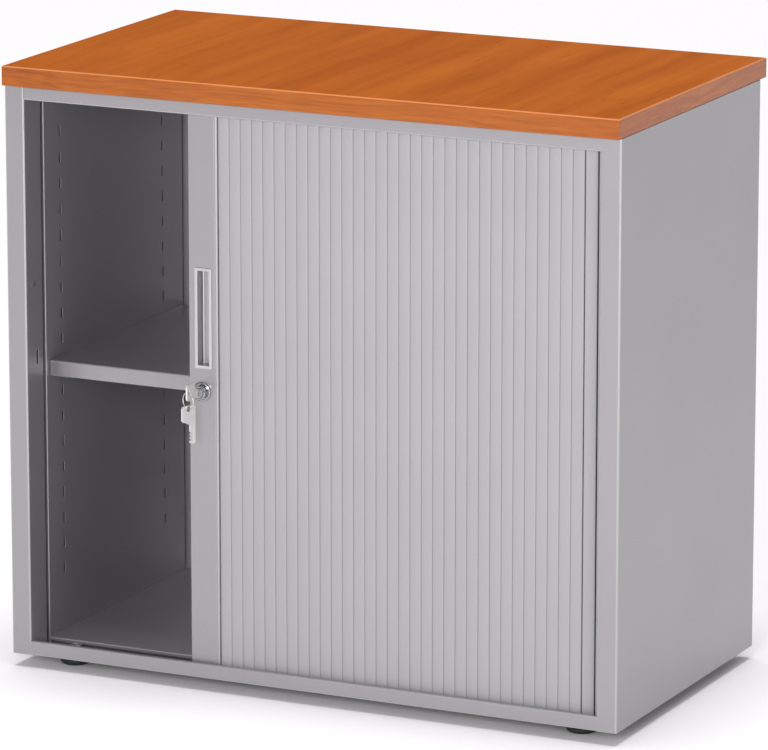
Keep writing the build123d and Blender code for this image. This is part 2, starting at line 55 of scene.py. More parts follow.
side, opening = side_high.x, side_low.x

aim_right, aim_up = 0.0007, 0.3433          # from the middle of the carcass's underside
swing, rise, distance = radians(25.59), radians(13.17), 7.083
film_wide, focal_length, sees_to = 36, 275.1, 100

looks_at = Vector((aim_right, (front + back) / 2, bottom + aim_up))
towards_camera = Vector((sin(swing) * cos(rise), -cos(swing) * cos(rise), sin(rise)))
lens = bpy.data.cameras.new("camera")
lens.sensor_width, lens.lens, lens.clip_end = film_wide, focal_length, sees_to
camera = bpy.data.objects.new("camera", lens)
camera.location = looks_at + towards_camera * distance
camera.rotation_euler = towards_camera.to_track_quat("Z", "Y").to_euler()
bpy.context.scene.collection.objects.link(camera)
bpy.context.scene.camera = camera

# --------------------------------------------------------------
# Studio. A plain pale floor under an even white sky and a soft light from straight above, with
# two wide lamps: the main one in front, and a weak low one that draws light lines on the folds.
sky_colour, sky_strength = (1.0, 0.985, 1.0), 0.40
ground_colour, ground_dull, ground_half = (0.96, 0.95, 0.96), 0.9, 12
ceiling_strength, ceiling_spread = 2.0, radians(30)


def finish_of(name, plain):
    """A new material, its node tree and its shader, with values that are the same all over."""
    finish = bpy.data.materials.new(name)
    finish.use_nodes = True
    shader = finish.node_tree.nodes["Principled BSDF"]
    for socket, value in plain.items():
        shader.inputs[socket.replace("_", " ")].default_value = value
    return finish, finish.node_tree, shader


def soft_lamp(name, turn, up, far, width, height, watts):
    """A lamp with a wide face that shines at the middle of the cabinet."""
    lamp = bpy.data.lights.new(name, "AREA")
    lamp.shape, lamp.size, lamp.size_y, lamp.energy = "RECTANGLE", width, height, watts
    holder = bpy.data.objects.new(name, lamp)
    direction = Vector((sin(turn) * cos(up), -cos(turn) * cos(up), sin(up)))
    holder.location = looks_at + direction * far
    holder.rotation_euler = direction.to_track_quat("Z", "Y").to_euler()
    bpy.context.scene.collection.objects.link(holder)


bpy.context.scene.view_settings.view_transform = "Standard"
sky = bpy.data.worlds.new("studio")
sky.use_nodes = True
sky_light = sky.node_tree.nodes["Background"]
sky_light.inputs["Color"].default_value = (*sky_colour, 1)
sky_light.inputs["Strength"].default_value = sky_strength
bpy.context.scene.world = sky

floor_paint = finish_of("floor paint", {"Base Color": (*ground_colour, 1), "Roughness": ground_dull})[0]
floor_bm = bmesh.new()
bmesh.ops.create_grid(floor_bm, x_segments=1, y_segments=1, size=ground_half)
floor_mesh = bpy.data.meshes.new("floor")
floor_bm.to_mesh(floor_mesh)
floor_bm.free()
floor_mesh.materials.append(floor_paint)
studio_floor = bpy.data.objects.new("floor", floor_mesh)
bpy.context.scene.collection.objects.link(studio_floor)

soft_lamp("front lamp", turn=radians(13), up=radians(14), far=4.0, width=1.3, height=1.3, watts=77)
soft_lamp("side lamp", turn=radians(66), up=radians(-1), far=3.5, width=0.6, height=0.55, watts=8)
ceiling = bpy.data.lights.new("ceiling", "SUN")
ceiling.energy, ceiling.angle = ceiling_strength, ceiling_spread
bpy.context.scene.collection.objects.link(bpy.data.objects.new("ceiling", ceiling))

# --------------------------------------------------------------
# Steel sides. Each is one sheet of 1 mm steel: a rear return, the side, a front stile with
# rounded edges and a flange folded inwards. They are powder-coated a fine silver grey, and
# the left flange is punched for the lock's hook and for the closing buffer.
sheet, fold, sheet_rim = 0.001, 0.0025, 0.00025
rear_return, flange = 0.020, {"right": 0.010, "left": 0.040}
keep_slot = (0.008, 0.025)                  # ends of the hook's slot above the hook's pivot
keep_before, keep_behind = 0.0008, 0.0009   # room in that slot before and behind the hook
buffer_hole, hole_window = 0.0026, 1.25     # a hole starts as a square window this much wider
buffer_low, buffer_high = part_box("closing_buffer")
buffer_middle = (buffer_low + buffer_high) / 2
hook_low, hook_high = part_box("lock_hook")
pivot = {j["name"]: Vector(j["pos_m"]) for j in frame["joints"] if j.get("pos_m")}
touching = 1e-6                             # points nearer than this are in one place
cut_snap = 0.00001                          # points nearer a cut than this move onto it
colour_a, colour_b, colour_out = 6, 7, 2    # the colour sockets of a Mix node


def group_of(name, inputs, outputs):
    """An empty node group with named inputs and outputs, and its two end nodes."""
    group = bpy.data.node_groups.new(name, "ShaderNodeTree")
    for socket, kind, value in inputs:
        made = group.interface.new_socket(socket, in_out="INPUT", socket_type="NodeSocket" + kind)
        made.default_value = value
    for socket, kind in outputs:
        group.interface.new_socket(socket, in_out="OUTPUT", socket_type="NodeSocket" + kind)
    return group, group.nodes.new("NodeGroupInput"), group.nodes.new("NodeGroupOutput")


def add_node(tree, kind, sockets=None, **settings):
    """A node with its settings made, and values put on its sockets by name or number."""
    made = tree.nodes.new("ShaderNode" + kind)
    for key, value in settings.items():
        setattr(made, key, value)
    for key, value in (sockets or {}).items():
        made.inputs[key].default_value = value
    return made


def connect(tree, *links):
    """Links nodes: each link names a node, its output, the next node and that node's input."""
    for giver, output, taker, socket in links:
        tree.links.new(giver.outputs[output], taker.inputs[socket])


def make_speckle():
    """Fine noise for painted, moulded and plated faces, with a slow drift from place to place."""
    group, start, end = group_of(
        "speckle",
        [("Scale", "Float", 1200.0), ("Stretch", "Vector", (1, 1, 1)), ("Drift Scale", "Float", 6.0)],
        [("Height", "Float"), ("Drift", "Float")])
    place = add_node(group, "TexCoord")
    stretched = add_node(group, "VectorMath", operation="MULTIPLY")
    fine = add_node(group, "TexNoise", {"Detail": 2.0})
    slow = add_node(group, "TexNoise", {"Detail": 3.0})
    connect(group, (place, "Object", stretched, 0), (start, "Stretch", stretched, 1),
            (stretched, 0, fine, "Vector"), (start, "Scale", fine, "Scale"),
            (place, "Object", slow, "Vector"), (start, "Drift Scale", slow, "Scale"),
            (fine, "Fac", end, "Height"), (slow, "Fac", end, "Drift"))
    return group


def make_fold_highlight():
    """How far a face leans away from the six main directions, as bends and rounded edges do: the mask of a
    painted highlight.
    """
    group, start, end = group_of(
        "painted fold highlight", [("Begins", "Float", 1.05), ("Full", "Float", 1.3)], [("Highlight", "Float")])
    place = add_node(group, "TexCoord")
    parts = add_node(group, "VectorMath", operation="ABSOLUTE")
    lean = add_node(group, "VectorMath", {1: (1, 1, 1)}, operation="DOT_PRODUCT")
    highlight_mask = add_node(group, "MapRange")
    connect(group, (place, "Normal", parts, 0), (parts, "Vector", lean, 0),
            (lean, "Value", highlight_mask, "Value"), (start, "Begins", highlight_mask, "From Min"),
            (start, "Full", highlight_mask, "From Max"), (highlight_mask, "Result", end, "Highlight"))
    return group


speckle, fold_highlight = make_speckle(), make_fold_highlight()


def speckled(name, dark, light, shiny, dull, depth, scale=1200.0, stretch=(1, 1, 1), drift=6.0, **plain):
    """A finish that drifts between two colours and two roughnesses, with fine noise in its height."""
    finish, tree, shader = finish_of(name, plain)
    grain = add_node(tree, "Group", {"Scale": scale, "Stretch": stretch, "Drift Scale": drift},
                     node_tree=speckle)
    hue = add_node(tree, "Mix", {colour_a: (*dark, 1), colour_b: (*light, 1)}, data_type="RGBA")
    rough = add_node(tree, "MapRange", {"From Min": 0.3, "From Max": 0.7, "To Min": shiny, "To Max": dull})
    bump = add_node(tree, "Bump", {"Distance": depth})
    connect(tree, (grain, "Drift", hue, "Factor"), (hue, colour_out, shader, "Base Color"),
            (grain, "Drift", rough, "Value"), (rough, "Result", shader, "Roughness"),
            (grain, "Height", bump, "Height"), (bump, "Normal", shader, "Normal"))
    return finish


def mixed_in(finish, mask, colour):
    """Mixes one more colour into a finish where a mask says so."""
    tree = finish.node_tree
    coat = tree.nodes["Principled BSDF"].inputs["Base Color"]
    mixed = add_node(tree, "Mix", {colour_b: (*colour, 1)}, data_type="RGBA")
    tree.links.new(mask, mixed.inputs["Factor"])
    tree.links.new(coat.links[0].from_socket, mixed.inputs[colour_a])
    tree.links.new(mixed.outputs[colour_out], coat)


silver_grey = speckled("silver grey powder coat", dark=(0.328, 0.315, 0.333), light=(0.357, 0.344, 0.362),
                       shiny=0.28, dull=0.38, depth=0.000012, scale=900.0, Metallic=0.5)
# A paler coat on the bends and rounded edges: a painted highlight along the folds.
fold_highlight_paint = add_node(silver_grey.node_tree, "Group", {"Begins": 1.05, "Full": 1.3}, node_tree=fold_highlight)
mixed_in(silver_grey, fold_highlight_paint.outputs["Highlight"], (0.43, 0.42, 0.43))


def rounded(bm, geom, radius, steps, affect="EDGES"):
    """Rounds edges, or the corners of an outline."""
    bmesh.ops.bevel(bm, geom=geom, offset=radius, offset_type="OFFSET", affect=affect, segments=steps,
                    profile=0.5, material=-1)


def new_verts(made):
    """The new vertices among what an operator gives back."""
    return [item for item in made["geom"] if isinstance(item, bmesh.types.BMVert)]


def once(items):
    """The items in the order they come in, each only once."""
    return list(dict.fromkeys(items))


def folded(outline, run, bend=fold):
    """A sheet with no thickness yet: corners joined up, rounded where it folds, and drawn out."""
    bm = bmesh.new()
    corners = [bm.verts.new(corner) for corner in outline]
    bends = bend if isinstance(bend, tuple) else (bend,) * len(corners)
    for pair in zip(corners, corners[1:]):
        bm.edges.new(pair)
    for corner, radius in zip(corners[1:-1], bends):
        if radius:
            rounded(bm, [corner], radius, steps=5, affect="VERTICES")
    drawn = bmesh.ops.extrude_edge_only(bm, edges=bm.edges[:])
    bmesh.ops.translate(bm, vec=run, verts=new_verts(drawn))
    return bm


def marked_out(bm, low, high):
    """Cuts the faces along the sides of a box, and gives those that lie inside it."""
    for axis in range(3):
        for level in (low[axis], high[axis]):
            near = [f for f in bm.faces
                    if all(min(v.co[i] for v in f.verts) < high[i] and max(v.co[i] for v in f.verts) > low[i]
                           for i in range(3))]
            around = once(part for f in near for part in (*f.edges, *f.verts))
            middle, straight = Vector((0, 0, 0)), Vector((0, 0, 0))
            middle[axis], straight[axis] = level, 1
            bmesh.ops.bisect_plane(bm, geom=near + around, dist=cut_snap, plane_co=middle, plane_no=straight)
    return [f for f in bm.faces if all(low[i] < f.calc_center_median()[i] < high[i] for i in range(3))]


def punch(bm, low, high):
    """Opens a sheet inside a box that reaches through it."""
    bmesh.ops.delete(bm, geom=marked_out(bm, low, high), context="FACES")


def drill(bm, centre, axis, radius):
    """A round hole in a flat stretch of sheet: a square window, closed up again to a circle."""
    reach = Vector((1, 1, 1)) * radius * hole_window
    reach[axis] = sheet / 2
    punch(bm, centre - reach, centre + reach)
    square = [e for e in bm.edges if e.is_boundary
              and all(abs(v.co[i] - centre[i]) < reach[i] + touching for v in e.verts for i in range(3))]
    turn = (Matrix.Rotation(pi / 2, 4, "Y"), Matrix.Rotation(pi / 2, 4, "X"), Matrix.Identity(4))[axis]
    ring = bmesh.ops.create_circle(bm, cap_ends=False, segments=24, radius=radius,
                                   matrix=Matrix.Translation(centre) @ turn)
    circle = once(e for v in ring["verts"] for e in v.link_edges)
    bmesh.ops.bridge_loops(bm, edges=square + circle)


def thicken(bm, wall, outwards):
    """Gives a sheet its thickness behind the face that lies furthest outwards."""
    bmesh.ops.recalc_face_normals(bm, faces=bm.faces)
    outwards = Vector(outwards)
    outermost = max(bm.faces, key=lambda f: (round(f.calc_center_median().dot(outwards), 6), f.calc_area()))
    if outermost.normal.dot(outwards) < 0:
        bmesh.ops.reverse_faces(bm, faces=bm.faces)
    bmesh.ops.solidify(bm, geom=bm.faces[:], thickness=wall)


def place_piece(name, bm, finish, body, stands_for=(), rim=0.0):
    """Makes a bmesh a piece that rides on a body; rim is the width of its broken edges."""
    for face in bm.faces:
        face.smooth = True
    mesh = bpy.data.meshes.new(name)
    bm.to_mesh(mesh)
    bm.free()
    mesh.materials.append(finish)
    piece = bpy.data.objects.new(name, mesh)
    bpy.context.scene.collection.objects.link(piece)
    if rim:
        broken = piece.modifiers.new("broken edges", "BEVEL")
        broken.width, broken.segments, broken.angle_limit = rim, 2, radians(50)
    else:
        mesh.set_sharp_from_angle(angle=radians(40))
    piece.modifiers.new("flat faces stay flat", "WEIGHTED_NORMAL").keep_sharp = True
    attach(piece, body)
    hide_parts(*stands_for)


for hand, sign in (("right", 1), ("left", -1)):
    plan = ((side - rear_return, back), (side, back), (side, front), (opening, front),
            (opening, front + flange[hand]))
    panel = folded([Vector((sign * x, y, bottom)) for x, y in plan], Vector((0, 0, top - bottom)))
    if hand == "left":
        keep_low, keep_high = (pivot["hook_swing"].z + end for end in keep_slot)
        punch(panel, Vector((-opening - sheet, hook_low.y - keep_before, keep_low)),
              Vector((-opening + sheet, hook_high.y + keep_behind, keep_high)))
        drill(panel, Vector((-opening, buffer_middle.y, buffer_middle.z)), 0, buffer_hole)
    thicken(panel, sheet, (sign, 0, 0))
    place_piece(f"{hand}_side", panel, silver_grey, "carcass", [f"side_panel_{hand}"],
                rim=sheet_rim)

# --------------------------------------------------------------
# Base and roof pans. Each is a sheet of the same steel between the sides, with an upstand at
# the back and a rail folded at the front, notched at its ends for the stiles. The base
# carries welded nuts for the feet, and the roof is drilled for the screws of the top board.
pan_upstand, rail_return, rail_hem, pan_fold = 0.014, 0.008, 0.006, 0.002
notch, notch_clear, rail_skin = sheet + fold, 0.0002, sheet * 1.2
feet = ("foot_front_left", "foot_front_right", "foot_rear_left", "foot_rear_right")
foot_places = {foot: (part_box(foot)[0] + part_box(foot)[1]) / 2 for foot in feet}
stem_radius, stem_clear = 0.004, 0.0003
foot_nut_wide, foot_nut_high = 0.0139, 0.006
screw_hole, screw_in = 0.0022, 0.06
screw_places = [(x, y) for x in (-0.3, 0, 0.3) for y in (front + screw_in, back - screw_in)]


def pan(node, level, rail, into, welded):
    """A pan whose flat lies at a level, with its rail welded flush over the folds of some stiles."""
    low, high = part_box(node)
    edge = [(high.y, level + into * pan_upstand), (high.y, level), (front, level), (front, rail),
            (front + rail_return, rail), (front + rail_return, rail - into * rail_hem)]
    bm = folded([Vector((low.x, y, z)) for y, z in edge], Vector((high.x - low.x, 0, 0)), bend=pan_fold)
    through = sorted((level - into * sheet, rail + into * sheet))
    inside = sorted((level + into * sheet, rail + into * sheet))
    start = opening - notch_clear
    for sign, depth in ((-1, flange["left"]), (1, flange["right"])):
        lap, skin = (fold, front + rail_skin) if sign in welded else (0, front - sheet)
        for starts, ends, before, behind, heights in (
                (start + lap, side, front - sheet, notch, through),
                (start, start + notch, skin, depth + sheet, through),
                (start, side, skin, rail_return + sheet, inside)):
            left, right = sorted((sign * starts, sign * ends))
            punch(bm, Vector((left, before, heights[0])), Vector((right, front + behind, heights[1])))
    return bm


base = pan("base_pan", bottom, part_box("base_pan")[1].z, 1, welded=(-1, 1))
for place in foot_places.values():
    drill(base, Vector((place.x, place.y, bottom)), 2, stem_radius + stem_clear)
thicken(base, sheet, (0, 0, -1))
place_piece("base", base, silver_grey, "carcass", ["base_pan"], rim=sheet_rim)

roof = pan("roof_pan", top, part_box("roof_pan")[0].z, -1, welded=(1,))
for x, y in screw_places:
    drill(roof, Vector((x, y, top)), 2, screw_hole)
thicken(roof, sheet, (0, 0, 1))
place_piece("roof", roof, silver_grey, "carcass", ["roof_pan"], rim=sheet_rim)


def hexagon(bm, place, across, height, bore=0.0):
    """A hexagon of a width across its flats, drawn up from a place, with or without a bore."""
    sides = bmesh.ops.create_circle(bm, cap_ends=not bore, segments=6, radius=across / 2 / cos(pi / 6),
                                    matrix=place)["verts"]
    if bore:
        hole = bmesh.ops.create_circle(bm, segments=24, radius=bore, matrix=place)["verts"]
        bmesh.ops.bridge_loops(bm, edges=once(e for v in sides + hole for e in v.link_edges))
    grown = bmesh.ops.extrude_face_region(bm, geom=once(f for v in sides for f in v.link_faces),
                                          use_keep_orig=True)
    bmesh.ops.translate(bm, vec=place.to_3x3() @ Vector((0, 0, height)), verts=new_verts(grown))
    bmesh.ops.recalc_face_normals(bm, faces=bm.faces)


nuts = bmesh.new()
for place in foot_places.values():
    hexagon(nuts, Matrix.Translation((place.x, place.y, bottom + sheet)), foot_nut_wide, foot_nut_high,
            bore=stem_radius + stem_clear)
place_piece("foot_nuts", nuts, silver_grey, "carcass", rim=0.0003)

# --------------------------------------------------------------
# Screws of the top board. Six zinc-plated hexagon screws with a flange go up through the
# roof pan into the board, and their heads hang under the roof.
screw_outline = ((0, 0.012), (0.0014, 0.010), (0.0018, 0.006), (0.0018, 0), (0.0062, 0),
                 (0.0062, -0.0008), (0.0045, -0.0014), (0, -0.0014))
head_wide, head_high, head_under = 0.007, 0.0032, 0.0012
zinc = speckled("zinc plate", dark=(0.56, 0.57, 0.60), light=(0.68, 0.67, 0.64), shiny=0.28, dull=0.42,
                depth=0.000008, scale=1500.0, drift=140.0, Metallic=1.0)


def turned(bm, outline, centre, axis, steps=32, whole=False):
    """A lathe-turned shape: radii and heights along an axis, closed into a ring if whole."""
    axis = Vector(axis)
    across = axis.orthogonal().normalized()
    made = [bm.verts.new(centre + across * radius + axis * height) for radius, height in outline]
    edges = [bm.edges.new(pair) for pair in zip(made, made[1:])]
    if whole:
        edges.append(bm.edges.new((made[-1], made[0])))
    bmesh.ops.spin(bm, geom=made + edges, cent=centre, axis=axis, angle=2 * pi, steps=steps, use_merge=True)
    poles = [v for v in bm.verts if (v.co - centre - axis * axis.dot(v.co - centre)).length < touching]
    bmesh.ops.remove_doubles(bm, verts=poles, dist=touching)
    bmesh.ops.recalc_face_normals(bm, faces=bm.faces)


screws = bmesh.new()
for x, y in screw_places:
    under = Vector((x, y, top - sheet))
    turned(screws, screw_outline, under, (0, 0, 1), steps=24)
    hexagon(screws, Matrix.Translation(under - Vector((0, 0, head_under))) @ Matrix.Rotation(pi, 4, "X"),
            head_wide, head_high)
place_piece("board_screws", screws, zinc, "carcass", rim=0.0002)

# --------------------------------------------------------------
# Back panel. A flat steel sheet laid against the rear returns of the sides and held there by
# pop rivets, whose low domed heads show from behind.
rivet_x, rivet_count, rivet_end = side - rear_return / 2, 6, 0.03
rivet_outline = ((0, 0.0003), (0.0011, 0.0003), (0.0012, 0.0008), (0.0024, 0.0012), (0.0037, 0.0008),
                 (0.0042, 0.0002), (0.0042, 0), (0, 0))
panel_low, panel_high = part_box("back_panel")
rear = folded([Vector((x, panel_high.y, panel_low.z)) for x in (panel_low.x, panel_high.x)],
              Vector((0, 0, panel_high.z - panel_low.z)))
thicken(rear, sheet, (0, 1, 0))
place_piece("back", rear, silver_grey, "carcass", ["back_panel"], rim=sheet_rim)

rivets = bmesh.new()
for step in range(rivet_count):
    z = bottom + rivet_end + (top - bottom - 2 * rivet_end) * step / (rivet_count - 1)
    for sign in (-1, 1):
        turned(rivets, rivet_outline, Vector((sign * rivet_x, back, z)), (0, 1, 0), steps=20)
place_piece("rivets", rivets, zinc, "carcass")

# --------------------------------------------------------------
# Liners. Two sheets stand inside the sides and hide the shutter's side track. Each has a
# narrow return at both edges and two columns of slots in which the shelf clips hook.
shelf_low, shelf_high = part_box("shelf")
slot_wide, slot_tall, slot_pitch, slot_rows = 0.004, 0.012, 0.032, range(-8, 10)
slot_columns = (front + 0.095, back - 0.060)
slot_zero = shelf_high.z - 0.012            # the row that holds the shelf's clips
liner_fold = 0.0015

for hand, sign in (("right", 1), ("left", -1)):
    low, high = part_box(f"liner_{hand}")
    inner, outer = sorted((abs(low.x), abs(high.x)))
    plan = ((outer, low.y), (inner, low.y), (inner, high.y), (outer, high.y))
    liner = folded([Vector((sign * x, y, low.z)) for x, y in plan], Vector((0, 0, high.z - low.z)),
                   bend=liner_fold)
    for y in slot_columns:
        for z in (slot_zero + row * slot_pitch for row in slot_rows):
            punch(liner, Vector((sign * inner - sheet, y - slot_wide / 2, z - slot_tall / 2)),
                  Vector((sign * inner + sheet, y + slot_wide / 2, z + slot_tall / 2)))
    thicken(liner, sheet, (-sign, 0, 0))
    place_piece(f"{hand}_liner", liner, silver_grey, "carcass", [f"liner_{hand}"], rim=0.0002)

# --------------------------------------------------------------
# Inner floor and shelf, folded from the same steel. The floor has a narrow front edge, stands
# on a leg set back behind it and is holed over the rear feet. The shelf has folded edges
# front and back, and rests on four clips bent from zinc-plated strip.
floor_low, floor_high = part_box("inner_floor")
floor_edge, floor_lip, floor_fold, stem_hole = 0.0045, 0.009, 0.0015, 0.006
floor_under = floor_high.z - floor_edge
shelf_lip, shelf_fold = 0.012, 0.002

edge = ((floor_high.y, floor_high.z), (floor_low.y, floor_high.z), (floor_low.y, floor_under),
        (floor_low.y + floor_lip, floor_under), (floor_low.y + floor_lip, floor_low.z))
tray = folded([Vector((floor_low.x, y, z)) for y, z in edge], Vector((floor_high.x - floor_low.x, 0, 0)),
              bend=floor_fold)
for foot in ("foot_rear_left", "foot_rear_right"):
    drill(tray, Vector((foot_places[foot].x, foot_places[foot].y, floor_high.z)), 2, stem_hole)
thicken(tray, sheet, (0, 0, 1))
place_piece("floor_tray", tray, silver_grey, "carcass", ["inner_floor"], rim=sheet_rim)

edge = ((shelf_low.y + shelf_lip, shelf_low.z), (shelf_low.y, shelf_low.z), (shelf_low.y, shelf_high.z),
        (shelf_high.y, shelf_high.z), (shelf_high.y, shelf_low.z), (shelf_high.y - shelf_lip, shelf_low.z))
board = folded([Vector((shelf_low.x, y, z)) for y, z in edge], Vector((shelf_high.x - shelf_low.x, 0, 0)),
               bend=shelf_fold)
thicken(board, sheet, (0, 0, 1))
place_piece("steel_shelf", board, silver_grey, "carcass", ["shelf"], rim=sheet_rim)


def finish_cad(node, finish):
    """Gives a finish to a piece that keeps its own shape."""
    for material_slot in frame["nodes"][node].material_slots:
        material_slot.material = finish


finish_cad("shelf_clips", zinc)

# --------------------------------------------------------------
# Closing buffer. A turned rubber button pressed through the left flange, which takes the
# knock of the lead bar when the shutter closes.
button_outline = ((0, 0.0007), (0.0026, 0.0010), (0.0038, 0.0009), (0.0045, 0.0005), (0.0045, 0),
                  (0.0025, 0), (0.0025, -0.0026), (0.0021, -0.003), (0, -0.003))
rubber = speckled("grey rubber", dark=(0.10, 0.10, 0.105), light=(0.14, 0.14, 0.145), shiny=0.70, dull=0.85,
                  depth=0.00002, scale=1800.0)
button = bmesh.new()
turned(button, button_outline, Vector((-opening, buffer_middle.y, buffer_middle.z)), (1, 0, 0))
place_piece("buffer", button, rubber, "carcass", ["closing_buffer"])

# --------------------------------------------------------------
# Tracks. Two dark plastic channels, one in each pan, guide the slats along the front, round
# the right-hand corner and back along the side.
dark_plastic = speckled("dark track plastic", dark=(0.035, 0.035, 0.038), light=(0.05, 0.05, 0.053),
                        shiny=0.42, dull=0.55, depth=0.000015, scale=1500.0)
for track in ("lower_track", "upper_track"):
    finish_cad(track, dark_plastic)

# --------------------------------------------------------------
# Slats. The curtain is a row of extruded grey plastic slats. Each has a crowned face with
# rounded edges, and a web and a thin tongue that lies behind the next slat. They stand in
# the tracks, and those already past the corner stay hidden in the side of the cabinet.
moving_slats, stored_slats = 31, 19
slat_pitch, slat_face, slat_crown = 0.0147, 0.0146, 0.0008
slat_thick, slat_edge, slat_half = 0.0020, 0.0009, 0.0025
tongue_reach, tongue_thick, tongue_root, web = 0.0076, 0.0012, 0.004, 0.0015
stored_reach = -0.001                       # a stored slat stops short of its own edge
corner_x, hinge_radius = 0.347, 0.0395      # the slats are hinged along their back edges
slat_low, slat_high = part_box("slat_01")
curtain_y = slat_low.y + slat_half

slat_plastic = speckled("light grey slat plastic", dark=(0.35, 0.338, 0.358), light=(0.375, 0.363, 0.383),
                        shiny=0.38, dull=0.46, depth=0.00001, scale=1600.0, stretch=(1, 1, 0.012))


def make_slat(reach):
    """A slat drawn out from its plan, whose left front edge is at the origin."""
    face, rear = -slat_half, slat_half
    root = slat_face - tongue_root
    plan = ((0, face + slat_crown), (slat_face, face + slat_crown), (slat_face, face + slat_thick),
            (root + web, face + slat_thick), (root + web, rear - tongue_thick),
            (slat_face + reach, rear - tongue_thick), (slat_face + reach, rear), (root, rear),
            (root, face + slat_thick), (0, face + slat_thick))
    bm = bmesh.new()
    corners = [bm.verts.new((x, y, slat_low.z)) for x, y in plan]
    bm.faces.new(corners)
    bmesh.ops.subdivide_edges(bm, edges=[bm.edges.get(corners[:2])], cuts=7)
    crown = [v for v in bm.verts if v.co.y < face + slat_crown + touching]
    for vert in crown:
        vert.co.y = face + slat_crown * (2 * vert.co.x / slat_face - 1) ** 2
    crown_ends = [v for v in crown if v.co.y > face + slat_crown - touching]
    rounded(bm, crown_ends, slat_edge, steps=3, affect="VERTICES")
    grown = bmesh.ops.extrude_face_region(bm, geom=bm.faces[:], use_keep_orig=True)
    bmesh.ops.translate(bm, vec=(0, 0, slat_high.z - slat_low.z), verts=new_verts(grown))
    bmesh.ops.recalc_face_normals(bm, faces=bm.faces)
    return bm


for number in range(1, moving_slats + 1):
    slat = make_slat(tongue_reach)
    bmesh.ops.translate(slat, vec=(slat_low.x + slat_pitch * (number - 1), curtain_y, 0), verts=slat.verts)
    node = f"slat_{number:02d}"
    place_piece("curtain_" + node, slat, slat_plastic, node, [node])


def hinge_line(number):
    """Where a stored slat's left back edge stands, along the front, round the corner or behind it."""
    run = slat_low.x + slat_pitch * (number - 1) - corner_x
    turn = min(max(run / hinge_radius, 0), pi / 2)
    past = max(run - hinge_radius * pi / 2, 0)
    return Vector((corner_x + min(run, 0) + hinge_radius * sin(turn),
                   slat_high.y + hinge_radius * (1 - cos(turn)) + past, 0))


stored = bmesh.new()
for number in range(moving_slats + 1, moving_slats + stored_slats + 1):
    hinge, way = hinge_line(number), hinge_line(number + 1) - hinge_line(number)
    slat = make_slat(stored_reach)
    bmesh.ops.translate(slat, vec=(0, -slat_half, 0), verts=slat.verts)
    bmesh.ops.transform(slat, matrix=Matrix.Translation(hinge) @ Matrix.Rotation(atan2(way.y, way.x), 4, "Z"),
                        verts=slat.verts)
    loose = bpy.data.meshes.new("slat")
    slat.to_mesh(loose)
    slat.free()
    stored.from_mesh(loose)
    bpy.data.meshes.remove(loose)
place_piece("stored_curtain", stored, slat_plastic, "carcass", ["stored_slats"])

# --------------------------------------------------------------
# Lead bar. The closing bar of the shutter is a hollow silver-grey section, open at the back
# between two lips, with a fine groove beside its rounded right edge. It is cut out for the
# grip, the lock and the hook, and dark plastic shoes close its ends and run in the tracks.
bar_low, bar_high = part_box("lead_bar")
bar_face, bar_wall, bar_lip, bar_edge = bar_low.y, 0.0015, 0.0115, 0.002
groove_wide, groove_deep, groove_right = 0.0009, 0.0006, bar_high.x - 0.0030
cup_low, cup_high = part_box("grip_cup")
cup_middle = (cup_low + cup_high) / 2
pocket_wide, pocket_tall, pocket_deep, cup_wall, cup_clear = 0.015, 0.1145, 0.013, 0.0012, 0.0003
lock_middle = Vector((pivot["key_turn"].x, bar_face, pivot["key_turn"].z))
barrel_radius, barrel_clear = 0.009, 0.0002
hook_clear, hook_window = 0.0006, (0.012, 0.027)        # the window's ends above the lock's middle

plan = ((bar_low.x + bar_lip, bar_high.y), (bar_low.x, bar_high.y), (bar_low.x, bar_face),
        (groove_right - groove_wide, bar_face), (groove_right - groove_wide / 2, bar_face + groove_deep),
        (groove_right, bar_face), (bar_high.x, bar_face), (bar_high.x, bar_high.y),
        (bar_high.x - bar_lip, bar_high.y))
bar = folded([Vector((x, y, bar_low.z)) for x, y in plan], Vector((0, 0, bar_high.z - bar_low.z)),
             bend=(bar_edge, bar_edge, 0, 0, 0, bar_edge, bar_edge))
around_cup = Vector((pocket_wide / 2 + cup_wall + cup_clear, sheet, pocket_tall / 2 + cup_wall + cup_clear))
grip_window = Vector((cup_middle.x, bar_face, cup_middle.z))
punch(bar, grip_window - around_cup, grip_window + around_cup)
drill(bar, lock_middle, 1, barrel_radius + barrel_clear)
punch(bar, Vector((bar_low.x - sheet, hook_low.y - hook_clear, lock_middle.z + hook_window[0])),
      Vector((bar_low.x + sheet, hook_high.y + hook_clear, lock_middle.z + hook_window[1])))
thicken(bar, bar_wall, (0, -1, 0))
place_piece("closing_bar", bar, silver_grey, "shutter", ["lead_bar"], rim=0.0002)
finish_cad("guide_shoes", dark_plastic)

# --------------------------------------------------------------
# Finger grip. A silver-coloured moulded cup pushed into the lead bar, with a thin flat rim
# round a deep narrow pocket, whose floor is rounded along both long sides. The pocket is
# painted darker than the rim as shade: its walls much darker, its floor a little.
cup_wide, cup_tall = cup_high.x - cup_low.x, cup_high.z - cup_low.z
cup_corner, floor_round, pocket_floor = 0.0012, 0.002, bar_face + pocket_deep
wall_shade_begins, wall_shade_full, wall_shade_tone = 0.0006, 0.0012, (0.33, 0.325, 0.335)    # depths behind the rim
floor_shade_full, floor_shade_tone = 0.0004, (0.53, 0.525, 0.54)                        # height above the floor
grip_silver = speckled("silver coloured plastic", dark=(0.55, 0.545, 0.56), light=(0.61, 0.605, 0.62),
                       shiny=0.36, dull=0.44, depth=0.000006, scale=2000.0, Metallic=0.9)


def toned_past(finish, axis, begins, full, colour, most=1.0):
    """Mixes one more colour into a finish, from one level along an axis and fully from another."""
    tree = finish.node_tree
    place, parts = add_node(tree, "TexCoord"), add_node(tree, "SeparateXYZ")
    reached = add_node(tree, "MapRange", {"From Min": begins, "From Max": full, "To Max": most})
    connect(tree, (place, "Object", parts, 0), (parts, axis, reached, "Value"))
    mixed_in(finish, reached.outputs["Result"], colour)
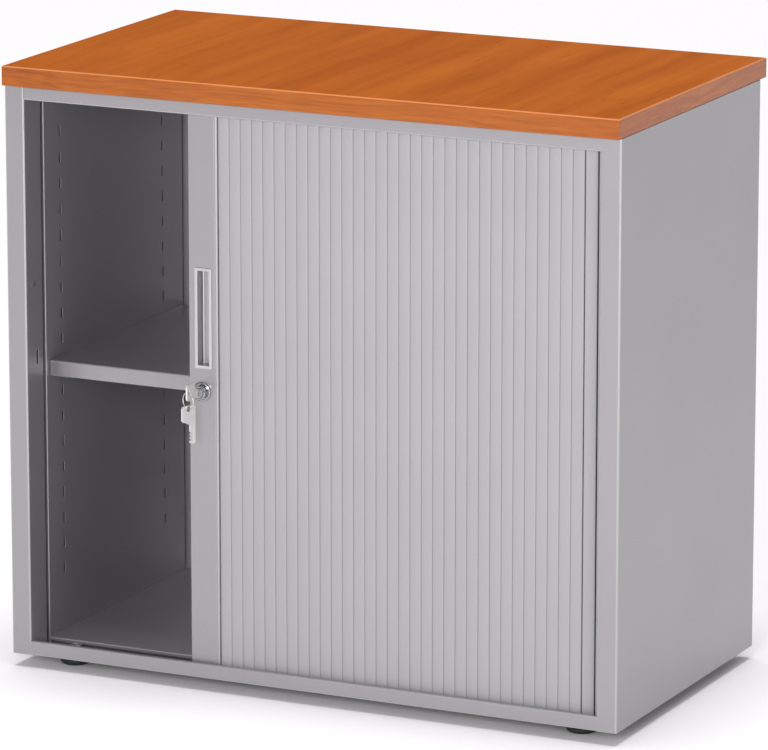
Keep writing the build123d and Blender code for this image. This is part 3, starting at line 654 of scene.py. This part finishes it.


# Painted shade in the pocket: its walls darker than the rim, its floor lighter again but still a little
# darker than the rim.
toned_past(grip_silver, "Y", cup_low.y + wall_shade_begins, cup_low.y + wall_shade_full, wall_shade_tone)
toned_past(grip_silver, "Y", pocket_floor - floor_round, pocket_floor - floor_shade_full, floor_shade_tone)


def upright_frame(bm, middle, wide, tall, corner=0.0):
    """A wire rectangle that stands at a place and faces forwards, with its corners rounded."""
    shape = (Matrix.Translation(middle) @ Matrix.Rotation(pi / 2, 4, "X")
             @ Matrix.Diagonal((wide, tall, 1, 1)) @ Matrix.Rotation(pi / 4, 4, "Z"))
    corners = bmesh.ops.create_circle(bm, segments=4, radius=sqrt(0.5), matrix=shape)["verts"]
    if corner:
        rounded(bm, corners, corner, steps=4, affect="VERTICES")


cup = bmesh.new()
rim_middle = Vector((cup_middle.x, cup_low.y, cup_middle.z))
upright_frame(cup, rim_middle, cup_wide, cup_tall, cup_corner)
upright_frame(cup, rim_middle, pocket_wide, pocket_tall)
bmesh.ops.bridge_loops(cup, edges=cup.edges[:])
mouth = [e for e in cup.edges if e.is_boundary
         and all(abs(v.co.x - cup_middle.x) < pocket_wide / 2 + touching for v in e.verts)
         and all(abs(v.co.z - cup_middle.z) < pocket_tall / 2 + touching for v in e.verts)]
walls = bmesh.ops.extrude_edge_only(cup, edges=mouth)
bmesh.ops.translate(cup, vec=(0, pocket_floor - cup_low.y, 0), verts=new_verts(walls))
wall_ends = [e for e in walls["geom"] if isinstance(e, bmesh.types.BMEdge) and e.is_boundary]
bmesh.ops.holes_fill(cup, edges=wall_ends)
long_edges = [e for e in cup.edges if all(abs(v.co.y - pocket_floor) < touching for v in e.verts)
              and abs(e.verts[0].co.x - e.verts[1].co.x) < touching]
rounded(cup, long_edges, floor_round, steps=6)
thicken(cup, cup_wall, (0, -1, 0))
place_piece("finger_grip", cup, grip_silver, "shutter", ["grip_cup"], rim=0.0004)

# --------------------------------------------------------------
# Lock. A chrome barrel with a stepped rosette goes through the lead bar and is held by a nut.
# The plug turns inside it. A zinc-plated case plate behind carries the pin of the hook,
# which swings out through the bar's left wall.
plug_low, plug_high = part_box("lock_plug")
plug_radius, plug_bore, plug_rim = 0.0062, 0.0065, 0.0006
blade_thick, blade_wide, slot_gap, slot_deep = 0.002, 0.008, 0.0006, 0.0195
barrel_nut_wide, barrel_nut_high = 0.0225, 0.004
barrel_outline = (
    (plug_bore, -0.013), (barrel_radius, -0.013), (barrel_radius, 0), (0.01175, 0), (0.01175, 0.0019),
    (0.0114, 0.0026), (0.0107, 0.0030), (0.0099, 0.0030), (0.0094, 0.0023), (0.0086, 0.0023),
    (0.0086, 0.0102), (0.0078, 0.011), (plug_bore + 0.0003, 0.011), (plug_bore, 0.0107))
plate_front, plate_back, strut_front = hook_high.y + 0.0007, hook_high.y + 0.0019, bar_face + 0.008
pin_radius, hook_axis = 0.0020, Vector((pivot["hook_swing"].x, 0, pivot["hook_swing"].z))
chrome = speckled("polished chrome", dark=(0.34, 0.34, 0.36), light=(0.42, 0.42, 0.44), shiny=0.12,
                  dull=0.20, depth=0.000003, scale=2500.0, Metallic=1.0)

barrel = bmesh.new()
turned(barrel, barrel_outline, lock_middle, (0, -1, 0), steps=48, whole=True)
hexagon(barrel, Matrix.Translation(lock_middle + Vector((0, bar_wall, 0))) @ Matrix.Rotation(-pi / 2, 4, "X"),
        barrel_nut_wide, barrel_nut_high, bore=barrel_radius)
place_piece("lock_barrel", barrel, chrome, "shutter", ["lock_housing"])


def add_block(bm, low, high):
    """A block between two corners."""
    shape = Matrix.Translation((low + high) / 2) @ Matrix.Diagonal((*(high - low), 1))
    bmesh.ops.create_cube(bm, size=1, matrix=shape)


case = bmesh.new()
for block in (((-0.010, plate_front, -0.013), (0.014, plate_back, 0.006)),          # the plate
              ((-0.004, strut_front, -0.013), (0.004, plate_front, -0.0092))):      # and its strut
    add_block(case, *(Vector((lock_middle.x + x, y, lock_middle.z + z)) for x, y, z in block))
turned(case, ((0, hook_low.y), (pin_radius, hook_low.y), (pin_radius, plate_front), (0, plate_front)),
       hook_axis, (0, 1, 0))
place_piece("lock_case", case, zinc, "shutter", rim=0.0002)
finish_cad("lock_hook", zinc)

plug = bmesh.new()
bmesh.ops.create_cone(plug, cap_ends=True, segments=48, radius1=plug_radius, radius2=plug_radius,
                      depth=plug_high.y - plug_low.y, matrix=Matrix.Translation((plug_low + plug_high) / 2)
                      @ Matrix.Rotation(pi / 2, 4, "X"))
front_edges = [e for e in plug.edges if all(abs(v.co.y - plug_low.y) < touching for v in e.verts)]
rounded(plug, front_edges, plug_rim, steps=2)
half_slot = Vector((blade_thick + slot_gap, sheet / 2, blade_wide + slot_gap)) / 2
keyhole = Vector((lock_middle.x, plug_low.y, lock_middle.z))
punch(plug, keyhole - half_slot, keyhole + half_slot)
slot_walls = bmesh.ops.extrude_edge_only(plug, edges=[e for e in plug.edges if e.is_boundary])
bmesh.ops.translate(plug, vec=(0, slot_deep, 0), verts=new_verts(slot_walls))
bmesh.ops.holes_fill(plug, edges=[e for e in plug.edges if e.is_boundary])
bmesh.ops.recalc_face_normals(plug, faces=plug.faces)
place_piece("key_plug", plug, chrome, "lock_plug", ["lock_plug"])

# --------------------------------------------------------------
# Keys. Both are stamped from nickel-plated brass: a square bow with rounded corners and a
# round eye, a blade with three cuts and a milled groove on each side. One stands in the
# lock, and the other hangs from it on a ring of steel wire.
bow_wide, bow_thick, bow_start, bow_corner = 0.020, 0.0022, 0.0275, 0.0035
key_long, key_shoulder, eye_radius, eye_in = 0.0475, 0.0235, 0.0032, 0.0042
tip_long, tip_half, wire = 0.002, 0.001, 0.0007
cut_start, cut_pitch, cut_count = 0.0045, 0.0040, 3
cut_shape = ((0, 0), (0.0009, 0.0016), (0.0019, 0.0016), (0.0028, 0))       # along and into the blade
milled_in, milled_low, milled_high, milled_deep, milled_near = 0.001, -0.0012, 0.0006, 0.0005, 0.0001
nickel = speckled("nickel plate", dark=(0.74, 0.715, 0.70), light=(0.80, 0.775, 0.76), shiny=0.30,
                  dull=0.40, depth=0.000004, scale=1400.0, drift=60.0, Metallic=0.75)


def key_blank():
    """A key lying flat, with x along it from the blade's tip and y across it."""
    half = blade_wide / 2
    far = bow_wide - half
    bm = bmesh.new()
    cuts = [(cut_start + cut_pitch * step + along, half - into)
            for step in range(cut_count) for along, into in cut_shape]
    low_joint, high_joint = bm.verts.new((bow_start, -half, 0)), bm.verts.new((bow_start, far - half, 0))
    corners = [bm.verts.new((x, y, 0)) for x, y in ((key_long, -half), (key_long, far), (bow_start, far))]
    bm.faces.new([low_joint, *corners, high_joint])
    bm.faces.new([low_joint, high_joint] + [bm.verts.new((x, y, 0)) for x, y in (
        (key_shoulder, half), *reversed(cuts), (tip_long, half), (0, tip_half), (0, -tip_half),
        (tip_long, -half))])
    rounded(bm, corners, bow_corner, steps=6, affect="VERTICES")
    drill(bm, Vector((key_long - eye_in, far - bow_wide / 2, 0)), 2, eye_radius)
    bmesh.ops.translate(bm, vec=(0, 0, bow_thick / 2), verts=bm.verts)
    thicken(bm, bow_thick, (0, 0, 1))
    for sign in (-1, 1):
        level = sign * bow_thick / 2
        milled = marked_out(bm, Vector((milled_in, milled_low, level - milled_near)),
                            Vector((key_shoulder - milled_in, milled_high, level + milled_near)))
        sunk = bmesh.ops.extrude_face_region(bm, geom=milled)
        bmesh.ops.delete(bm, geom=milled, context="FACES_ONLY")
        bmesh.ops.translate(bm, vec=(0, 0, -sign * milled_deep), verts=new_verts(sunk))
    for vert in bm.verts:
        if vert.co.x < key_shoulder + touching:
            vert.co.z *= blade_thick / bow_thick
    return bm


eye = pivot["ring_swing"]
ring_axis = Vector(next(j["axis"] for j in frame["joints"] if j["name"] == "ring_swing"))
ring_low, ring_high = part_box("key_ring")
ring_radius = (ring_high.z - ring_low.z) / 2 - wire
key_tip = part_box("key")[1].y

in_lock = Matrix(((0, 0, -1, lock_middle.x), (-1, 0, 0, key_tip), (0, 1, 0, lock_middle.z), (0, 0, 0, 1)))
aside = bow_wide / 2 - blade_wide / 2
facing = Vector((ring_axis.y, -ring_axis.x, 0))
sideways = Vector((facing.y, -facing.x, 0))
tip = Vector((eye.x, eye.y, eye.z - 2 * ring_radius - (key_long - eye_in))) - sideways * aside
hanging = Matrix.Translation(tip) @ Matrix((Vector((0, 0, 1)), sideways, facing)).transposed().to_4x4()
for name, place in (("key", in_lock), ("spare_key", hanging)):
    blank = key_blank()
    bmesh.ops.transform(blank, matrix=place, verts=blank.verts)
    place_piece("nickel_" + name, blank, nickel, name, [name], rim=0.00015)

loop = bmesh.new()
ring_middle = eye - Vector((0, 0, ring_radius))
along_ring = Matrix.Translation(eye) @ ring_axis.to_track_quat("Y", "Z").to_matrix().to_4x4()
bmesh.ops.create_circle(loop, segments=12, radius=wire, matrix=along_ring @ Matrix.Rotation(pi / 2, 4, "Y"))
bmesh.ops.spin(loop, geom=loop.verts[:] + loop.edges[:], cent=ring_middle, axis=ring_axis, angle=2 * pi,
               steps=48, use_merge=True)
bmesh.ops.recalc_face_normals(loop, faces=loop.faces)
place_piece("wire_ring", loop, zinc, "key_ring", ["key_ring"])

# --------------------------------------------------------------
# Levelling feet. Each has a round black pad with a hexagonal collar for a spanner, moulded
# round a zinc-plated threaded stem that screws into the nut in the base.
pad_radius, pad_high, collar_wide, collar_high, collar_sunk = 0.019, 0.008, 0.0121, 0.010, 0.0002
thread_pitch, thread_deep, stem_top, stem_plain = 0.00125, 0.00055, 0.0222, 0.001
thread_core, tip_radius, tip_high = stem_radius - thread_deep, stem_radius - 0.0012, 0.0006
pad_outline = (
    (0, 0.0006), (0.0125, 0.0006), (0.013, 0), (0.0145, 0), (0.0168, 0.0009), (0.0183, 0.0024),
    (pad_radius, 0.0042), (pad_radius, 0.0064), (0.0183, 0.0076), (0.0172, pad_high), (0, pad_high))
turns = int((stem_top - collar_high - stem_plain) / thread_pitch)
thread = [(stem_radius - thread_deep * part, collar_high + thread_pitch * (turn + shift))
          for turn in range(turns) for part, shift in ((1, 0.1), (0, 0.4), (0, 0.6), (1, 0.9))]
stem_outline = ((0, pad_high), (thread_core, pad_high), *thread, (thread_core, stem_top - tip_high),
                (tip_radius, stem_top), (0, stem_top))
black_plastic = speckled("black foot plastic", dark=(0.012, 0.012, 0.013), light=(0.022, 0.022, 0.023),
                         shiny=0.45, dull=0.60, depth=0.00003, scale=1100.0)
for foot, place in foot_places.items():
    centre = Vector((place.x, place.y, 0))
    pad = bmesh.new()
    turned(pad, pad_outline, centre, (0, 0, 1), steps=48)
    hexagon(pad, Matrix.Translation(centre + Vector((0, 0, pad_high - collar_sunk))), collar_wide,
            collar_high - pad_high + collar_sunk)
    place_piece(foot + "_pad", pad, black_plastic, foot, [foot], rim=0.0003)
    stem = bmesh.new()
    turned(stem, stem_outline, centre, (0, 0, 1), steps=24)
    place_piece(foot + "_stem", stem, zinc, foot)

# --------------------------------------------------------------
# Top board. A 24 mm chipboard with a cherry-coloured wood-grain laminate, its grain running
# from front to back. Plastic bands of the same wood cover its edges. Their corners and rims
# are rounded, and the upper rim is painted paler than the rest as a highlight.
board_low, board_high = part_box("top_board")
bands_low, bands_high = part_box("top_edge_bands")
band_corner, band_round, rim_highlight_reach, rim_highlight_tone = 0.0015, 0.0015, 0.0005, (0.70, 0.25, 0.076)
line_tint, pore_tint, pore_dark = (0.55, 0.45, 0.4), (0.4, 0.3, 0.3), 0.25


def make_wood_grain():
    """Grain stretched along one direction: broad streaks, fine lines and short dark pores."""
    group, start, end = group_of(
        "wood grain",
        [("Stretch", "Vector", (1, 0.06, 1)), ("Warp", "Float", 0.02), ("Streak Scale", "Float", 14.0),
         ("Line Scale", "Float", 120.0)],
        [("Streak", "Float"), ("Line", "Float"), ("Pore", "Float")])
    place = add_node(group, "TexCoord")
    stretched = add_node(group, "VectorMath", operation="MULTIPLY")
    bend_noise = add_node(group, "TexNoise", {"Scale": 5.0, "Detail": 1.0})
    bend_scaled = add_node(group, "VectorMath", operation="SCALE")
    bent = add_node(group, "VectorMath", operation="ADD")
    streak = add_node(group, "TexNoise", {"Detail": 3.0, "Roughness": 0.55})
    line = add_node(group, "TexNoise", {"Detail": 4.0, "Roughness": 0.6})
    pore = add_node(group, "TexNoise", {"Scale": 420.0, "Detail": 1.0})
    pore_cut = add_node(group, "MapRange", {"From Min": 0.62, "From Max": 0.74})
    connect(group, (place, "Object", stretched, 0), (start, "Stretch", stretched, 1),
            (place, "Object", bend_noise, "Vector"), (bend_noise, "Color", bend_scaled, 0),
            (start, "Warp", bend_scaled, "Scale"), (stretched, 0, bent, 0), (bend_scaled, 0, bent, 1),
            (bent, 0, streak, "Vector"), (start, "Streak Scale", streak, "Scale"),
            (bent, 0, line, "Vector"), (start, "Line Scale", line, "Scale"),
            (stretched, 0, pore, "Vector"), (pore, "Fac", pore_cut, "Value"),
            (streak, "Fac", end, "Streak"), (line, "Fac", end, "Line"), (pore_cut, "Result", end, "Pore"))
    return group


wood_grain = make_wood_grain()


def wood(name, stretch, dark, light, line_dark, streak_scale, line_scale, roughness, **plain):
    """Printed wood: two tones in broad streaks, with darker fine lines and pores."""
    line_tone, pore_tone = ([channel * part for channel, part in zip(dark, tint)]
                            for tint in (line_tint, pore_tint))
    finish, tree, shader = finish_of(name, plain)
    grain = add_node(tree, "Group", {"Stretch": stretch, "Streak Scale": streak_scale,
                                     "Line Scale": line_scale}, node_tree=wood_grain)
    spread = add_node(tree, "MapRange", {"From Min": 0.34, "From Max": 0.66})
    tone = add_node(tree, "Mix", {colour_a: (*dark, 1), colour_b: (*light, 1)}, data_type="RGBA")
    lines = add_node(tree, "MapRange", {"From Min": 0.40, "From Max": 0.70, "To Max": line_dark})
    lined = add_node(tree, "Mix", {colour_b: (*line_tone, 1)}, data_type="RGBA")
    pores = add_node(tree, "Math", {1: pore_dark}, operation="MULTIPLY")
    pored = add_node(tree, "Mix", {colour_b: (*pore_tone, 1)}, data_type="RGBA")
    rough = add_node(tree, "MapRange", {"To Min": roughness - 0.05, "To Max": roughness + 0.05})
    bump = add_node(tree, "Bump", {"Distance": 0.00002, "Strength": 0.6})
    connect(tree, (grain, "Streak", spread, "Value"), (spread, "Result", tone, "Factor"),
            (grain, "Line", lines, "Value"), (lines, "Result", lined, "Factor"),
            (tone, colour_out, lined, colour_a), (grain, "Pore", pores, 0), (pores, 0, pored, "Factor"),
            (lined, colour_out, pored, colour_a), (pored, colour_out, shader, "Base Color"),
            (grain, "Line", rough, "Value"), (rough, "Result", shader, "Roughness"),
            (grain, "Line", bump, "Height"), (bump, "Normal", shader, "Normal"))
    return finish


laminate = wood("cherry laminate", stretch=(1, 0.055, 1), dark=(0.410, 0.091, 0.0055),
                light=(0.520, 0.134, 0.012), line_dark=0.20, streak_scale=16.0, line_scale=60.0,
                roughness=0.50, Specular_IOR_Level=0.02)
band_wood = wood("cherry edge band", stretch=(0.02, 0.02, 1), dark=(0.345, 0.080, 0.005),
                 light=(0.455, 0.122, 0.010), line_dark=0.45, streak_scale=90.0, line_scale=480.0,
                 roughness=0.30, Specular_IOR_Level=0.40)
# A painted highlight: the band's rounded upper rim is paler than the rest.
rim_start = bands_high.z - band_round
toned_past(band_wood, "Z", rim_start, rim_start + rim_highlight_reach, rim_highlight_tone, most=0.85)

slab = bmesh.new()
add_block(slab, board_low, board_high)
place_piece("laminated_board", slab, laminate, "carcass", ["top_board"])

bands = bmesh.new()
add_block(bands, bands_low, bands_high)
upright = [e for e in bands.edges if abs(e.verts[0].co.z - e.verts[1].co.z) > sheet]
rounded(bands, upright, band_corner, steps=4)
level = [e for e in bands.edges if abs(e.verts[0].co.z - e.verts[1].co.z) < touching
         and any(abs(abs(f.normal.z) - 1) > 0.1 for f in e.link_faces)]
rounded(bands, level, band_round, steps=4)
flats = [f for f in bands.faces if abs(f.normal.z) > 0.99]
bmesh.ops.inset_region(bands, faces=flats, thickness=board_low.x - bands_low.x - band_round)
bmesh.ops.delete(bands, geom=flats, context="FACES")
bmesh.ops.bridge_loops(bands, edges=[e for e in bands.edges if e.is_boundary])
bmesh.ops.recalc_face_normals(bands, faces=bands.faces)
place_piece("edge_bands", bands, band_wood, "carcass", ["top_edge_bands"])
